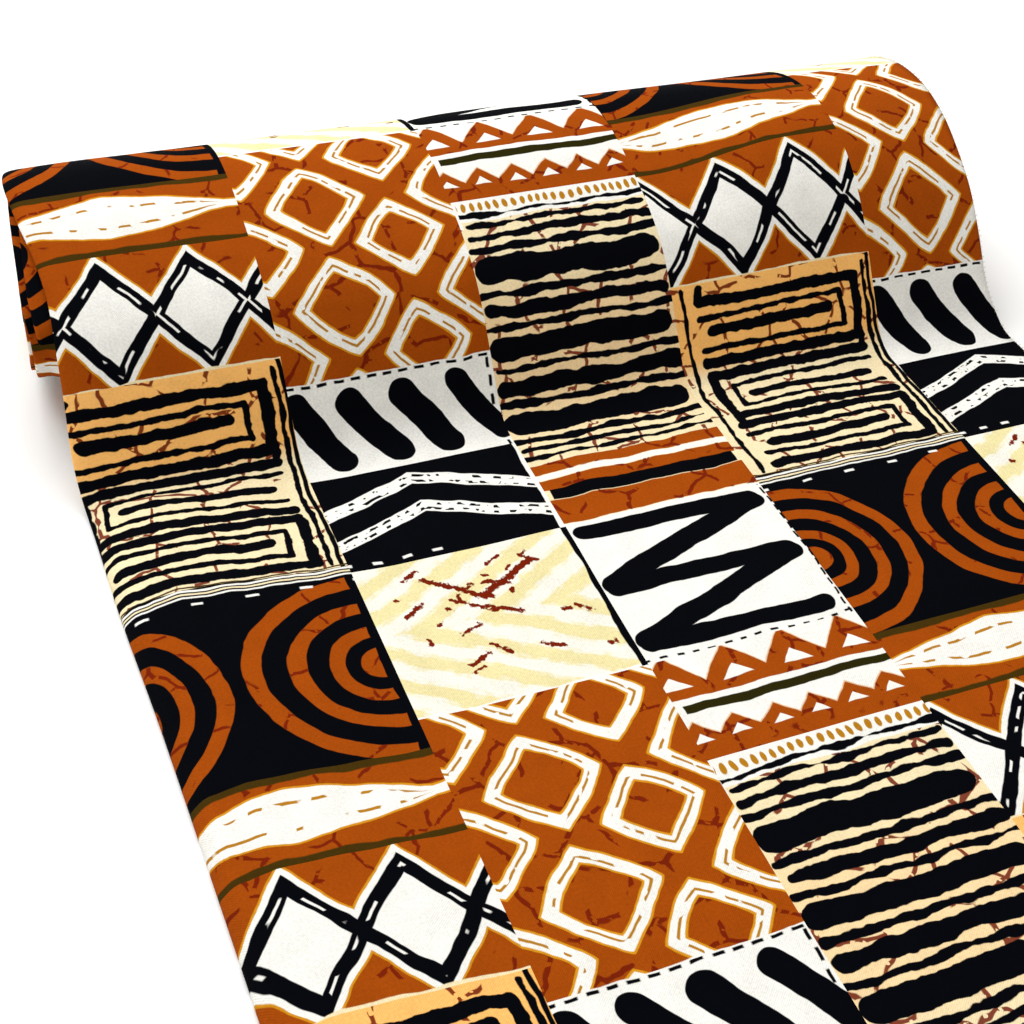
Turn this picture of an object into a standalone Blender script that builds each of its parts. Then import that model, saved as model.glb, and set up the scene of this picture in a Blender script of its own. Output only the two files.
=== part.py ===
"""A bolt of printed cotton, doubled lengthwise and wound, with one length drawn off over its front.

The cloth is one solid. Its wound form is a soft, slightly flattened roll that lies along X. The outer turn
leaves the roll at the low back, passes over the back, the top and the front, bends onto the surface and runs
flat towards -Y. It is a doubled sheet: two layers a little apart, joined by a soft fold on the left.
All sizes here are in millimetres.
"""
import math
from collections import namedtuple

import bmesh
import bpy

MM = 0.001

LAYER = 1.2
LAYER_GAP = 0.8
STACK = 2.0 * LAYER + LAYER_GAP
TURN_CLEARANCE = 0.6
FOLD_NOSE = 6.0

STEPS_ON_ROLL = 3
STEPS_ON_SURFACE = 1
POINTS_UNDER_TURN = 22
STEPS_ON_UNDERSIDE = 3

# Towards its right end the roll is rounder. A row for each place along X where the change starts or ends.
# x: place along the roll; share: how much of the rounder shape it has there
RounderRow = namedtuple("RounderRow", "x share")
ROUNDER = [
    RounderRow(85.0, 0.0),
    RounderRow(180.0, 1.0),
    RounderRow(240.0, 1.0),
    RounderRow(306.0, 0.5),
]

# Outer face of the drawn turn, a row for each place from the low back round to the cut end.
# y: place along Y; left, right: height in the left and the right part; fold: the left fold's place along X;
# edge: the selvages' place along X; loft: how far the soft fold stands up there
CourseRow = namedtuple("CourseRow", "y left right fold edge loft")
COURSE = [
    CourseRow(328.0, 30.0, 30.0, -286.0, 302.0, 0.0),
    CourseRow(343.0, 37.0, 37.0, -286.0, 302.0, 0.0),
    CourseRow(352.0, 49.0, 49.0, -286.0, 302.0, 0.0),
    CourseRow(352.5, 65.0, 64.0, -286.0, 302.0, 0.5),
    CourseRow(344.5, 82.5, 81.0, -286.0, 302.5, 0.8),
    CourseRow(327.0, 100.0, 98.5, -286.0, 303.5, 1.0),
    CourseRow(298.0, 109.0, 111.5, -286.0, 304.5, 1.5),
    CourseRow(265.0, 106.5, 116.0, -287.5, 305.0, 2.0),
    CourseRow(235.0, 97.5, 111.0, -291.0, 304.0, 2.5),
    CourseRow(208.0, 87.0, 98.5, -292.5, 301.5, 2.5),
    CourseRow(184.0, 73.0, 78.5, -294.0, 301.0, 3.0),
    CourseRow(164.0, 52.0, 53.5, -295.5, 301.5, 3.5),
    CourseRow(145.0, 26.5, 27.5, -297.5, 302.5, 4.0),
    CourseRow(131.0, 9.5, 10.0, -297.0, 306.5, 5.0),
    CourseRow(115.0, STACK, STACK, -296.0, 307.0, 7.0),
    CourseRow(88.0, STACK, STACK, -295.5, 307.0, 8.5),
    CourseRow(40.0, STACK, STACK, -295.0, 307.0, 10.0),
    CourseRow(-40.0, STACK, STACK, -292.0, 306.5, 11.0),
    CourseRow(-130.0, STACK, STACK, -290.0, 306.0, 12.5),
    CourseRow(-240.0, STACK, STACK, -288.0, 305.5, 12.5),
    CourseRow(-353.5, STACK, STACK, -287.0, 305.0, 12.5),
]
TURN_CLEARS_BODY = 2
TURN_LEAVES_ROLL = 10
TURN_IS_FLAT = 14

# How the loft fades with the distance from the fold, as a share of its full height
LoftRow = namedtuple("LoftRow", "distance share")
LOFT_FADE = [
    LoftRow(0.0, 0.3),
    LoftRow(10.0, 0.75),
    LoftRow(26.0, 1.0),
    LoftRow(48.0, 0.86),
    LoftRow(78.0, 0.55),
    LoftRow(110.0, 0.2),
    LoftRow(150.0, 0.0),
]
DISTANCES_FROM_FOLD = [
    0.0, 0.5, 2.0, 4.5, 9.0, 17.0, 28.0, 45.0, 68.0, 96.0, 130.0, 190.0, 290.0, 373.0, 420.0, 467.0, 530.0,
]

# The wound body where the drawn turn doesn't cover it, from the front down to the surface and up the low back
UndersideRow = namedtuple("UndersideRow", "y z")
UNDERSIDE = [
    UndersideRow(188.5, 58.0),
    UndersideRow(193.0, 41.0),
    UndersideRow(205.0, 23.5),
    UndersideRow(224.0, 9.0),
    UndersideRow(246.0, 1.2),
    UndersideRow(268.0, 0.0),
    UndersideRow(308.0, 0.0),
    UndersideRow(332.0, 6.5),
    UndersideRow(346.0, 20.0),
    UndersideRow(351.5, 34.0),
]
BODY_RADIUS = 53.0
DRAWN_IN_TO_Y = 290.0
DRAWN_IN_TO_Z = 72.0

# The deeper turns reach further left, each behind its own rounded fold, and less so towards the back.
# x: place along the roll; inset: how far the body's outline is drawn in there, on a radius of BODY_RADIUS
ShoulderRow = namedtuple("ShoulderRow", "x inset")
SHOULDERS = [
    ShoulderRow(-303.5, 36.0),
    ShoulderRow(-305.5, 19.0),
    ShoulderRow(-307.0, 14.0),
    ShoulderRow(-306.4, 10.5),
    ShoulderRow(-304.2, 8.2),
    ShoulderRow(-302.6, 7.6),
    ShoulderRow(-301.8, 5.4),
    ShoulderRow(-299.6, 3.6),
    ShoulderRow(-296.0, 2.6),
    ShoulderRow(-291.0, 2.0),
    ShoulderRow(-287.0, 0.6),
    ShoulderRow(-280.0, 0.0),
    ShoulderRow(-200.0, 0.0),
    ShoulderRow(-100.0, 0.0),
    ShoulderRow(0.0, 0.0),
    ShoulderRow(85.0, 0.0),
    ShoulderRow(109.0, 0.0),
    ShoulderRow(133.0, 0.0),
    ShoulderRow(156.0, 0.0),
    ShoulderRow(180.0, 0.0),
    ShoulderRow(240.0, 0.0),
    ShoulderRow(300.0, 0.0),
    ShoulderRow(303.0, 0.3),
    ShoulderRow(305.0, 1.6),
    ShoulderRow(304.5, 20.0),
]
END_SLANT = 0.1
END_SLANT_FROM_Y = 215.0
END_SLANT_FADES_TO_X = -200.0
END_SLANT_WHOLE_AT_X = -285.0

CLOTH_COLOUR = (0.48, 0.08, 0.004, 1.0)
CLOTH_ROUGHNESS = 0.75


def clear_scene():
    for obj in list(bpy.data.objects):
        bpy.data.objects.remove(obj, do_unlink=True)


def cloth_material():
    material = bpy.data.materials.new("printed_cotton")
    material.use_nodes = True
    shader = material.node_tree.nodes["Principled BSDF"]
    shader.inputs["Base Color"].default_value = CLOTH_COLOUR
    shader.inputs["Roughness"].default_value = CLOTH_ROUGHNESS
    shader.inputs["Metallic"].default_value = 0.0
    return material


def smoothstep(value):
    t = min(max(value, 0.0), 1.0)
    return t * t * (3.0 - 2.0 * t)


def spline(rows, position):
    """Values at a fractional row number on a smooth curve through the rows."""
    last = len(rows) - 1
    index = min(int(position), last - 1)
    t = position - index
    before = rows[max(index - 1, 0)]
    after = rows[min(index + 2, last)]
    values = []
    for a, b, c, d in zip(before, rows[index], rows[index + 1], after):
        first = (c - a) * t
        second = (2.0 * a - 5.0 * b + 4.0 * c - d) * t ** 2
        third = (3.0 * b - a - 3.0 * c + d) * t ** 3
        values.append(b + 0.5 * (first + second + third))
    return values


def between_rows(rows, place):
    """The second column's value at a place in the first, with soft steps from row to row."""
    for (start, low), (end, high) in zip(rows, rows[1:]):
        if place <= end:
            return low + (high - low) * smoothstep((place - start) / (end - start))
    return rows[-1][1]


def course_point(position, x):
    """Outer face of the drawn turn at a fractional row of COURSE and a place along X, as (y, z)."""
    row = CourseRow(*spline(COURSE, position))
    if position >= TURN_IS_FLAT:
        return row.y, STACK
    height = row.left + (row.right - row.left) * between_rows(ROUNDER, x)
    return row.y, max(height, STACK)


def course_normal(position, x):
    """Unit vector (y, z) that points out of the drawn turn's outer face."""
    step = 0.02
    y0, z0 = course_point(max(position - step, 0.0), x)
    y1, z1 = course_point(min(position + step, len(COURSE) - 1.0), x)
    length = math.hypot(y1 - y0, z1 - z0)
    return (z1 - z0) / length, (y0 - y1) / length


def off_course(position, x, height):
    """Point at a height above the drawn turn's outer face; inside it, the height is negative."""
    y, z = course_point(position, x)
    out_y, out_z = course_normal(position, x)
    return x, y + out_y * height, z + out_z * height


def nose(distance, width):
    """Share of its full opening that a rounded fold has at a distance from its outermost line."""
    short = 1.0 - min(max(distance / width, 0.0), 1.0)
    return math.sqrt(1.0 - short * short)


def sheet_section(position):
    """Outer and inner outline of the doubled sheet, each from the upper selvage round the fold to the lower."""
    row = CourseRow(*spline(COURSE, position))
    width = row.edge - row.fold
    middle = -0.5 * STACK
    outer_upper, outer_lower, inner_upper, inner_lower = [], [], [], []
    for distance in DISTANCES_FROM_FOLD + [width]:
        raised = row.loft * between_rows(LOFT_FADE, distance)
        open_outer = nose(distance, FOLD_NOSE)
        open_inner = nose(distance, FOLD_NOSE - LAYER)
        x = row.fold + distance
        inner_x = x + LAYER * (1.0 - distance / width)
        outer_upper.append(off_course(position, x, middle + (0.5 * STACK + raised) * open_outer))
        outer_lower.append(off_course(position, x, middle - 0.5 * STACK * open_outer))
        inner_upper.append(off_course(position, inner_x, middle + (0.5 * LAYER_GAP + raised) * open_inner))
        inner_lower.append(off_course(position, inner_x, middle - 0.5 * LAYER_GAP * open_inner))
    outer = outer_upper[::-1] + outer_lower[1:]
    inner = inner_upper[::-1] + inner_lower[1:]
    return outer, inner


def sheet_positions():
    """Fractional rows of COURSE at which the sheet has a section."""
    last = len(COURSE) - 1
    on_roll = [step / STEPS_ON_ROLL for step in range(TURN_IS_FLAT * STEPS_ON_ROLL)]
    steps_left = (last - TURN_IS_FLAT) * STEPS_ON_SURFACE
    on_surface = [TURN_IS_FLAT + step / STEPS_ON_SURFACE for step in range(steps_left + 1)]
    return on_roll + on_surface


def body_outline(x):
    """Closed outline of the wound body at a place along X, as (y, z) points."""
    depth = STACK + TURN_CLEARANCE
    covered = []
    for step in range(POINTS_UNDER_TURN):
        share = step / (POINTS_UNDER_TURN - 1)
        position = TURN_CLEARS_BODY + (TURN_LEAVES_ROLL - TURN_CLEARS_BODY) * share
        covered.append(off_course(position, x, -depth)[1:])
    bare_rows = [covered[-1]] + UNDERSIDE + [covered[0]]
    bare = []
    for step in range(1, (len(bare_rows) - 1) * STEPS_ON_UNDERSIDE):
        y, z = spline(bare_rows, step / STEPS_ON_UNDERSIDE)
        bare.append((y, max(z, 0.0)))
    return covered + bare


def body_section(x, inset):
    """The body's outline at a place along X, drawn in towards its middle and slanted at the left end."""
    keep = 1.0 - inset / BODY_RADIUS
    reach = (END_SLANT_FADES_TO_X - x) / (END_SLANT_FADES_TO_X - END_SLANT_WHOLE_AT_X)
    slant = END_SLANT * smoothstep(reach)
    section = []
    for y, z in body_outline(x):
        drawn_y = DRAWN_IN_TO_Y + (y - DRAWN_IN_TO_Y) * keep
        drawn_z = DRAWN_IN_TO_Z + (z - DRAWN_IN_TO_Z) * keep
        section.append((x + slant * max(drawn_y - END_SLANT_FROM_Y, 0.0), drawn_y, drawn_z))
    return section


def bridge(bm, first, second, closed):
    """Quads between two rows of vertices."""
    count = len(first)
    for i in range(count if closed else count - 1):
        j = (i + 1) % count
        bm.faces.new((first[i], first[j], second[j], second[i]))


def new_vertices(bm, points):
    return [bm.verts.new([value * MM for value in point]) for point in points]


def finish_object(bm, name, material):
    bmesh.ops.recalc_face_normals(bm, faces=bm.faces)
    mesh = bpy.data.meshes.new(name)
    bm.to_mesh(mesh)
    bm.free()
    mesh.materials.append(material)
    mesh.shade_smooth()
    obj = bpy.data.objects.new(name, mesh)
    bpy.context.scene.collection.objects.link(obj)
    return obj


def make_drawn_turn(material):
    """The doubled sheet, from where it leaves the wound body to its cut end."""
    bm = bmesh.new()
    outers, inners = [], []
    for position in sheet_positions():
        outer, inner = sheet_section(position)
        outers.append(new_vertices(bm, outer))
        inners.append(new_vertices(bm, inner))
    for rows in (outers, inners):
        for first, second in zip(rows, rows[1:]):
            bridge(bm, first, second, closed=False)
    for end in (0, -1):
        bridge(bm, outers[end], inners[end], closed=False)
        outer_selvage = [row[end] for row in outers]
        inner_selvage = [row[end] for row in inners]
        bridge(bm, outer_selvage, inner_selvage, closed=False)
    return finish_object(bm, "drawn_turn", material)


def make_wound_body(material):
    """The wound form under the drawn turn, with the rounded folds of its deeper turns at the left."""
    bm = bmesh.new()
    rings = [new_vertices(bm, body_section(x, inset)) for x, inset in SHOULDERS]
    for first, second in zip(rings, rings[1:]):
        bridge(bm, first, second, closed=True)
    bm.faces.new(rings[0])
    bm.faces.new(rings[-1])
    return finish_object(bm, "wound_cloth", material)


def join_by_union(body, addition):
    """Makes the two one solid. The addition stays in the scene as the modifier's hidden guide."""
    union = body.modifiers.new("one_cloth", "BOOLEAN")
    union.operation = "UNION"
    union.solver = "EXACT"
    union.object = addition
    addition.hide_render = True
    addition.display_type = "WIRE"


def main():
    clear_scene()
    material = cloth_material()
    body = make_wound_body(material)
    drawn_turn = make_drawn_turn(material)
    join_by_union(body, drawn_turn)


main()
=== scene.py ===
"""A bolt of patchwork-print cotton: its wound turns, the length drawn off, its thread ends and its print.

The cloth is doubled lengthwise, with its fold at the left and its two selvages at the right. Sizes are in
millimetres in the frame of the solid. The print's own places are u, across the cloth, and v, along it.
"""
import logging
import math
import random
from collections import namedtuple
from dataclasses import dataclass
from enum import Enum
from functools import partialmethod, reduce

import bpy
import numpy as np
from bpy.types import Material, Node, NodeSocket, NodeTree, Object
from mathutils import Matrix, Vector, noise


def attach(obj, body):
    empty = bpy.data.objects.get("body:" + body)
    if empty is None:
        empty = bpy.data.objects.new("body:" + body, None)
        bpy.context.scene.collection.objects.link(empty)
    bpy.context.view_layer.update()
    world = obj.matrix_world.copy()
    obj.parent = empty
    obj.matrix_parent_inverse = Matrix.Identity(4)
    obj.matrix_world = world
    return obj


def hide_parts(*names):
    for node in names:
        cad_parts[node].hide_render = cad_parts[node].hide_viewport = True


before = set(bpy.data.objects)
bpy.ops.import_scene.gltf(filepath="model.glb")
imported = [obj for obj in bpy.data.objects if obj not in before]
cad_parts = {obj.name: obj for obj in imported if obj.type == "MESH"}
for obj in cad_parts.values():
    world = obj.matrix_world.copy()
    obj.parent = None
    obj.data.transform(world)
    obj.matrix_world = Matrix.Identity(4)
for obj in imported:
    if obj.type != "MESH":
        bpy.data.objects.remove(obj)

MM = 0.001
LOG = logging.getLogger("bolt")
NODE = "wound_cloth"
BODY = "root"

# The doubled cloth's two layers with the air between them, and the cloth alone
STACK = 3.2
CLOTH = 0.5
FOLD_NOSE = 6.0

# Where the roll is rounder, along X
RounderRow = namedtuple("RounderRow", "x share")
ROUNDER = [RounderRow(85.0, 0.0), RounderRow(180.0, 1.0), RounderRow(240.0, 1.0), RounderRow(306.0, 0.5)]

# Outer face of the outer turn. y: place along Y; left, right: height in the left and the right part;
# fold, edge: the left fold's and the selvages' place along X; loft: how far the soft fold stands up
CourseRow = namedtuple("CourseRow", "y left right fold edge loft")
UNDERSIDE = [
    CourseRow(188.5, 58.0, 58.0, -288.0, 302.0, 0.0),
    CourseRow(193.0, 41.0, 41.0, -288.0, 302.0, 0.0),
    CourseRow(205.0, 23.5, 23.5, -287.0, 302.0, 0.0),
    CourseRow(224.0, 9.0, 9.0, -286.5, 302.0, 0.0),
    CourseRow(246.0, 1.2, 1.2, -286.0, 302.0, 0.0),
    CourseRow(268.0, 0.0, 0.0, -286.0, 302.0, 0.0),
    CourseRow(308.0, 0.0, 0.0, -286.0, 302.0, 0.0),
    CourseRow(332.0, 6.5, 6.5, -286.0, 302.0, 0.0),
    CourseRow(346.0, 20.0, 20.0, -286.0, 302.0, 0.0),
    CourseRow(351.5, 34.0, 34.0, -286.0, 302.0, 0.0),
]
DRAWN = [
    CourseRow(352.0, 49.0, 49.0, -286.0, 302.0, 0.0),
    CourseRow(352.5, 65.0, 64.0, -286.0, 302.0, 0.5),
    CourseRow(344.5, 82.5, 81.0, -291.0, 302.5, 0.8),
    CourseRow(327.0, 100.0, 98.5, -296.0, 303.5, 1.0),
    CourseRow(298.0, 109.0, 111.5, -299.5, 304.5, 1.5),
    CourseRow(265.0, 106.5, 116.0, -298.0, 305.0, 2.0),
    CourseRow(235.0, 97.5, 111.0, -294.0, 304.0, 2.5),
    CourseRow(208.0, 87.0, 98.5, -292.5, 301.5, 2.5),
    CourseRow(184.0, 73.0, 78.5, -294.0, 301.0, 3.0),
    CourseRow(164.0, 52.0, 53.5, -295.5, 301.5, 3.5),
    CourseRow(145.0, 26.5, 27.5, -297.5, 302.5, 4.0),
    CourseRow(131.0, 9.5, 10.0, -297.0, 306.5, 5.0),
    CourseRow(115.0, STACK, STACK, -296.0, 307.0, 7.0),
    CourseRow(88.0, STACK, STACK, -295.5, 307.0, 8.5),
    CourseRow(40.0, STACK, STACK, -295.0, 307.0, 10.0),
    CourseRow(-40.0, STACK, STACK, -292.0, 306.5, 11.0),
    CourseRow(-130.0, STACK, STACK, -290.0, 306.0, 12.5),
    CourseRow(-240.0, STACK, STACK, -288.0, 305.5, 12.5),
    CourseRow(-353.5, STACK, STACK, -287.0, 305.0, 12.5),
]
COURSE = UNDERSIDE + DRAWN
DRAWN_START = len(UNDERSIDE)
TURN_FACES_FRONT = DRAWN_START + 6
TURN_LEAVES_ROLL = DRAWN_START + 8
TURN_IS_FLAT = DRAWN_START + 12

# How the loft fades with the distance from the fold
LoftRow = namedtuple("LoftRow", "distance share")
LOFT_FADE = [
    LoftRow(0.0, 0.3), LoftRow(10.0, 0.75), LoftRow(26.0, 1.0), LoftRow(48.0, 0.86),
    LoftRow(78.0, 0.55), LoftRow(110.0, 0.2), LoftRow(150.0, 0.0),
]

# The print: its repeat across and along, and where its three columns start
REPEAT_U = 390.0
REPEAT_V = 411.0
U_OF_X = 567.5
V_OF_Y = 160.0
COLUMN_A, COLUMN_B, COLUMN_C = 252.0, 394.0, 519.0


def smoothstep(value: float) -> float:
    """A soft step from 0 to 1."""
    t = min(max(value, 0.0), 1.0)
    return t * t * (3.0 - 2.0 * t)


def spline(rows: list, position: float) -> list:
    """Values at a fractional row number, on a smooth curve through the rows.

    Args:
        rows: rows of numbers, all of one length.
        position: the row number, with its fraction.

    Returns:
        The row of numbers there.
    """
    last = len(rows) - 1
    index = min(int(position), last - 1)
    t = position - index
    before = rows[max(index - 1, 0)]
    after = rows[min(index + 2, last)]
    values = []
    for a, b, c, d in zip(before, rows[index], rows[index + 1], after):
        first = (c - a) * t
        second = (2.0 * a - 5.0 * b + 4.0 * c - d) * t ** 2
        third = (3.0 * b - a - 3.0 * c + d) * t ** 3
        values.append(b + 0.5 * (first + second + third))
    return values


def between_rows(rows: list, place: float) -> float:
    """The second column's value at a place in the first, with soft steps from row to row.

    Args:
        rows: rows of a place and a value.
        place: where to read them.

    Returns:
        The value there.
    """
    for (start, low), (end, high) in zip(rows, rows[1:]):
        if place <= end:
            return low + (high - low) * smoothstep((place - start) / (end - start))
    return rows[-1][1]


def nose(distance: float, width: float) -> float:
    """Share of its full opening that a rounded fold has at a distance from its outermost line."""
    short = 1.0 - min(max(distance / width, 0.0), 1.0)
    return math.sqrt(1.0 - short * short)


def unevenness(seed: float, x: float, y: float, span: float) -> float:
    """Soft random relief, about -1 to 1, that changes over a span in millimetres."""
    return noise.noise(Vector((x / span, y / span, seed)))


def linear(hex_colour: int) -> tuple:
    """Turns an sRGB hex colour to linear red, green, blue and alpha.

    Args:
        hex_colour: the colour as 0xRRGGBB.

    Returns:
        Four numbers from 0 to 1.
    """
    channels = [(hex_colour >> shift & 255) / 255.0 for shift in (16, 8, 0)]
    return tuple(c / 12.92 if c <= 0.04045 else ((c + 0.055) / 1.055) ** 2.4 for c in channels) + (1.0,)


def add_node(tree: NodeTree, kind: str, links: dict | None = None, **settings: object) -> Node:
    """Adds a node with its settings and links.

    Args:
        tree: the node tree.
        kind: the node's type.
        links: for an input's name or number, the socket or the value that it takes.
        settings: the node's own properties.

    Returns:
        The new node.
    """
    node = tree.nodes.new(kind)
    for name, value in settings.items():
        setattr(node, name, value)
    for key, value in (links or {}).items():
        if isinstance(value, NodeSocket):
            tree.links.new(value, node.inputs[key])
        else:
            node.inputs[key].default_value = value
    return node


def new_material(name: str) -> Material:
    """A new material, with nothing in its node tree yet."""
    material = bpy.data.materials.new(name)
    material.use_nodes = True
    material.node_tree.nodes.clear()
    return material


def put(name: str, data: bpy.types.ID) -> Object:
    """Puts a new object with this data into the scene."""
    placed = bpy.data.objects.new(name, data)
    bpy.context.scene.collection.objects.link(placed)
    return placed


class Ink(Enum):
    """Colours of the printed cotton, and one tan that is painted shade, as sRGB hex values."""

    RUST = 0xA1480A
    BLACK = 0x05060B
    WHITE = 0xF2F1EA
    CREAM = 0xF2E1B6
    # Painted shade: a warm tan that stands in for the darker, more saturated look of the roll's shaded
    # front, laid into the print's repeats
    TAN = 0xFEBF6C
    PALE_YELLOW = 0xE9DDA5
    OLIVE = 0x292507
    DARK_OLIVE = 0x42300A
    OCHRE = 0xB47B1A
    GOLD = 0xD9991F
    RED_BROWN = 0x741E08


Stroke = namedtuple("Stroke", "width points")
Band = namedtuple("Band", "low high ink")
DashedLine = namedtuple("DashedLine", "low high period share")
Cracks = namedtuple("Cracks", "cell width share")
Spread = namedtuple("Spread", "span share")


class Hand:
    """The unsteady hand behind the motifs: it strays a little, the same way on every run."""

    def __init__(self, seed: int) -> None:
        """Starts the hand off with the number that fixes how it strays."""
        self.random = random.Random(seed)

    def near(self, x: float, y: float, stray: float = 1.3) -> tuple:
        """A point near the meant one."""
        return x + self.random.uniform(-stray, stray), y + self.random.uniform(-stray, stray)

    def about(self, size: float, share: float = 0.16) -> float:
        """A size near the meant one."""
        return size * self.random.uniform(1.0 - share, 1.0 + share)

    def within(self, low: float, high: float) -> float:
        """Any number from low to high."""
        return self.random.uniform(low, high)

    def sign(self) -> float:
        """Up or down, by chance."""
        return self.random.choice((-1.0, 1.0))


class Field:
    """A number that a node tree works out, such as a distance on the cloth, held as its socket."""

    def __init__(self, tree: NodeTree, socket: NodeSocket) -> None:
        """Keeps the tree and the socket."""
        self.tree = tree
        self.socket = socket

    def math(self, operation: str, *others: "Field | float", clamp: bool = False) -> "Field":
        """This number and others through one step of arithmetic.

        Args:
            operation: the step's name.
            others: the further numbers that it takes.
            clamp: whether the result is kept from 0 to 1.

        Returns:
            The result.
        """
        inputs = {0: self.socket}
        for place, other in enumerate(others, 1):
            inputs[place] = other.socket if isinstance(other, Field) else other
        node = add_node(self.tree, "ShaderNodeMath", inputs, operation=operation, use_clamp=clamp)
        return Field(self.tree, node.outputs[0])

    # Each is one step: the sum, the difference, the product, the turned sign, the size without its sign,
    # a power, the lower and the higher of two
    __add__ = partialmethod(math, "ADD")
    __sub__ = partialmethod(math, "SUBTRACT")
    __mul__ = partialmethod(math, "MULTIPLY")
    __neg__ = partialmethod(math, "MULTIPLY", -1.0)
    __abs__ = partialmethod(math, "ABSOLUTE")
    power = partialmethod(math, "POWER")
    least = partialmethod(math, "MINIMUM")
    most = partialmethod(math, "MAXIMUM")

    def hypot(self, other: "Field") -> "Field":
        """The long side of the right angle that the two numbers span."""
        return (self * self + other * other).math("SQRT")

    def wave(self, period: float, start: float = 0.0) -> "Field":
        """Rises from 0 at start to half the period and falls back, over and over."""
        return (self - start).math("PINGPONG", period / 2.0)

    def wrapped(self, low: float, high: float) -> "Field":
        """The number brought into a range by whole ranges."""
        return self.math("WRAP", high, low)

    def inked(self, soft: float) -> "Field":
        """1 where this distance is below nought, with a soft rim in millimetres."""
        return self.math("MULTIPLY_ADD", -1.0 / soft, 0.5, clamp=True)


@dataclass(frozen=True)
class CottonFace:
    """How a face of plain-woven cotton takes the light: its roughness, gloss, fuzz and thread relief."""

    rough: float
    gloss: float
    bump: float
    depth: float
    fuzz: float = 0.0

    def dress(self, tree: NodeTree, colour: NodeSocket, height: NodeSocket) -> None:
        """Ends a material with this face.

        Args:
            tree: the material's node tree.
            colour: the face's colour.
            height: the height of its threads, from 0 to 1.
        """
        relief = {"Strength": self.bump, "Distance": self.depth, "Height": height}
        bump = add_node(tree, "ShaderNodeBump", relief)
        surface = {
            "Base Color": colour, "Roughness": self.rough, "Specular IOR Level": self.gloss,
            "Sheen Weight": self.fuzz, "Normal": bump.outputs[0],
        }
        shader = add_node(tree, "ShaderNodeBsdfPrincipled", surface)
        add_node(tree, "ShaderNodeOutputMaterial", {0: shader.outputs[0]})


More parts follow.
